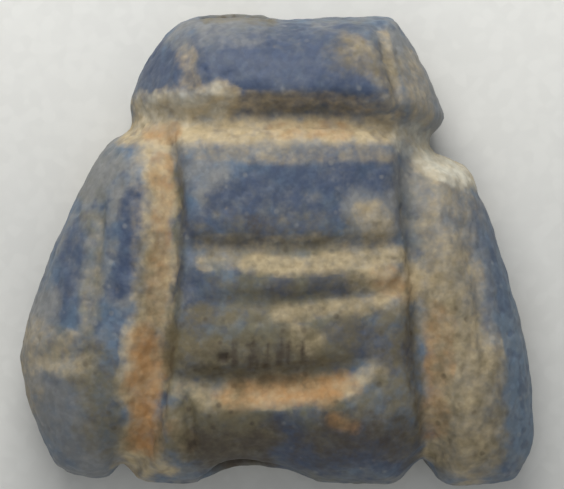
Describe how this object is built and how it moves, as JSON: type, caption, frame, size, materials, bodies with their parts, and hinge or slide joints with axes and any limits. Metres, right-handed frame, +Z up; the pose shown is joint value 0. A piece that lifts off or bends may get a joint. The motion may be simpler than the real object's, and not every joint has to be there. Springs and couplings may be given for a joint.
{
  "type": "fly amulet",
  "caption": "Small carved blue stone amulet in the shape of a resting fly, with head, folded wings and banded abdomen, pierced lengthwise for a cord.",
  "frame": {"origin": "middle of the flat underside, in the plane of the surface the amulet lies on", "axes": "+Y towards the head, +X across the wings to the right when the head is up in the picture, +Z up out of the carved back"},
  "size_m": [0.015, 0.0138, 0.0064],
  "materials": {
    "blue_stone": "worn matte mottled blue stone with sandy and rusty deposit in the cuts"
  },
  "bodies": {
    "root": {"fly_amulet": "blue_stone"}
  },
  "joints": []
}
